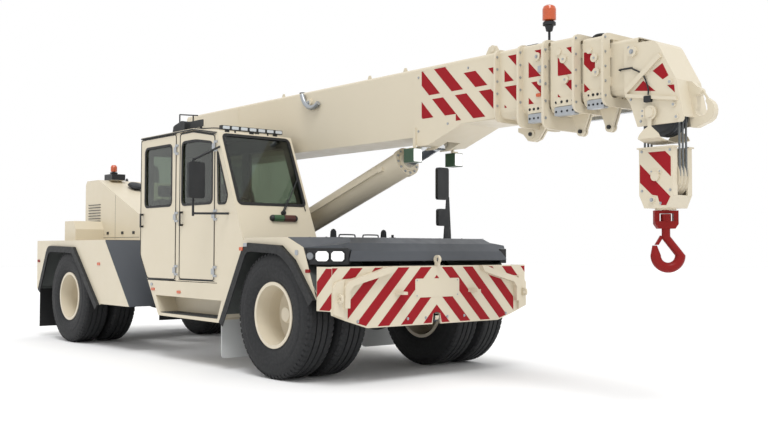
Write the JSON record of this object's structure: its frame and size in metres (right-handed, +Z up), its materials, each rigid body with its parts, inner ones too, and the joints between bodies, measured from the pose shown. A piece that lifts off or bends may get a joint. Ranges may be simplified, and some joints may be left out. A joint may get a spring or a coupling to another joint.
{
  "type": "articulated mobile crane",
  "caption": "Articulated pick-and-carry crane with side cab, telescopic boom on a central luff cylinder, hook block and twin-tyred axles.",
  "frame": {"origin": "on the ground, on the vehicle's middle plane, 1.115 m behind the front axle", "axes": "+X forward along the level boom, +Y to the vehicle's left, +Z up"},
  "size_m": [11.307, 3.362, 3.7249],
  "materials": {
    "cream_paint": "gloss",
    "grey_paint": "satin",
    "rim_paint": "gloss",
    "red_paint": "gloss",
    "dark_metal": "satin",
    "tyre_rubber": "matte",
    "rubber": "matte",
    "window_glass": "polished",
    "seat_fabric": "matte",
    "cab_plastic": "matte",
    "lamp_lens": "gloss",
    "amber_lens": "gloss",
    "rod_chrome": "polished",
    "rope_steel": "satin"
  },
  "bodies": {
    "front_chassis": {"front_frame": "dark_metal", "front_hood": "grey_paint", "front_panels": "cream_paint", "front_guards": "rubber", "front_bumper": "cream_paint", "head_lamps": "lamp_lens", "cab_shell": "cream_paint", "cab_glass": "window_glass", "cab_seats": "seat_fabric", "cab_controls": "cab_plastic", "roof_light_bar": "cab_plastic", "mirrors": "cab_plastic", "front_axle": "dark_metal"},
    "rear_chassis": {"rear_frame": "dark_metal", "rear_body": "cream_paint", "engine_hood": "cream_paint", "engine_block": "dark_metal", "rear_guards": "rubber", "rear_axle": "dark_metal", "rear_beacon": "amber_lens"},
    "front_right_wheels": {"tyres_front_right": "tyre_rubber", "rims_front_right": "rim_paint"},
    "front_left_wheels": {"tyres_front_left": "tyre_rubber", "rims_front_left": "rim_paint"},
    "rear_right_wheels": {"tyres_rear_right": "tyre_rubber", "rims_rear_right": "rim_paint"},
    "rear_left_wheels": {"tyres_rear_left": "tyre_rubber", "rims_rear_left": "rim_paint"},
    "front_door": {"door_front": "cream_paint", "door_glass_front": "window_glass"},
    "rear_door": {"door_rear": "cream_paint", "door_glass_rear": "window_glass"},
    "boom": {"boom_base": "cream_paint", "boom_fittings": "cab_plastic", "work_lights": "lamp_lens"},
    "section_2": {"boom_section_2": "cream_paint"},
    "section_3": {"boom_section_3": "cream_paint"},
    "section_4": {"boom_head": "cream_paint", "head_sheaves": "grey_paint"},
    "luff_cylinder": {"luff_barrel": "cream_paint"},
    "luff_piston": {"luff_rod": "rod_chrome"},
    "block": {"hook_block": "cream_paint", "block_sheaves": "rim_paint", "hoist_falls": "rope_steel"},
    "swivel_hook": {"hook": "red_paint"}
  },
  "joints": [
    {"name": "articulation", "type": "hinge", "parent": "front_chassis", "child": "rear_chassis", "pos_m": [-2.685, 0, 1], "axis": [0, 0, 1], "range_deg": [-35, 35]},
    {"name": "front_right_wheels_spin", "type": "hinge", "parent": "front_chassis", "child": "front_right_wheels", "pos_m": [1.115, -1.0675, 0.685], "axis": [0, 1, 0], "continuous": true},
    {"name": "front_left_wheels_spin", "type": "hinge", "parent": "front_chassis", "child": "front_left_wheels", "pos_m": [1.115, 1.0675, 0.685], "axis": [0, 1, 0], "continuous": true},
    {"name": "rear_right_wheels_spin", "type": "hinge", "parent": "rear_chassis", "child": "rear_right_wheels", "pos_m": [-4.345, -1.0675, 0.685], "axis": [0, 1, 0], "continuous": true},
    {"name": "rear_left_wheels_spin", "type": "hinge", "parent": "rear_chassis", "child": "rear_left_wheels", "pos_m": [-4.345, 1.0675, 0.685], "axis": [0, 1, 0], "continuous": true},
    {"name": "front_door_hinge", "type": "hinge", "parent": "front_chassis", "child": "front_door", "pos_m": [-0.095, -1.464, 1.9], "axis": [0, 0, 1], "range_deg": [0, 80]},
    {"name": "rear_door_hinge", "type": "hinge", "parent": "front_chassis", "child": "rear_door", "pos_m": [-1.035, -1.464, 1.9], "axis": [0, 0, 1], "range_deg": [0, 80]},
    {"name": "luff", "type": "hinge", "parent": "front_chassis", "child": "boom", "pos_m": [-2.605, 0, 2.98], "axis": [0, -1, 0], "range_deg": [0, 58]},
    {"name": "telescope_2", "type": "slide", "parent": "boom", "child": "section_2", "axis": [1, 0, 0], "range_m": [0, 3.4]},
    {"name": "telescope_3", "type": "slide", "parent": "section_2", "child": "section_3", "axis": [1, 0, 0], "range_m": [0, 3.4]},
    {"name": "telescope_4", "type": "slide", "parent": "section_3", "child": "section_4", "axis": [1, 0, 0], "range_m": [0, 3.4]},
    {"name": "cylinder_swing", "type": "hinge", "parent": "front_chassis", "child": "luff_cylinder", "pos_m": [-1.755, 0, 1.226], "axis": [0, -1, 0], "range_deg": [0, 51.29]},
    {"name": "rod_stroke", "type": "slide", "parent": "luff_cylinder", "child": "luff_piston", "axis": [0.9467, 0, 0.3222], "range_m": [0, 1.9087]},
    {"name": "block_hang", "type": "hinge", "parent": "section_4", "child": "block", "pos_m": [5.015, 0, 2.56], "axis": [0, -1, 0], "range_deg": [-58, 0]},
    {"name": "hook_swivel", "type": "hinge", "parent": "block", "child": "swivel_hook", "pos_m": [5.015, 0, 1.6], "axis": [0, 0, 1], "continuous": true}
  ],
  "couplings": [
    {"joint": "telescope_3", "follows": "telescope_2", "ratio": 1},
    {"joint": "telescope_4", "follows": "telescope_2", "ratio": 1},
    {"joint": "cylinder_swing", "follows": "luff", "ratio": 0.884},
    {"joint": "rod_stroke", "follows": "luff", "m_per_rad": 1.885},
    {"joint": "block_hang", "follows": "luff", "ratio": -1}
  ]
}
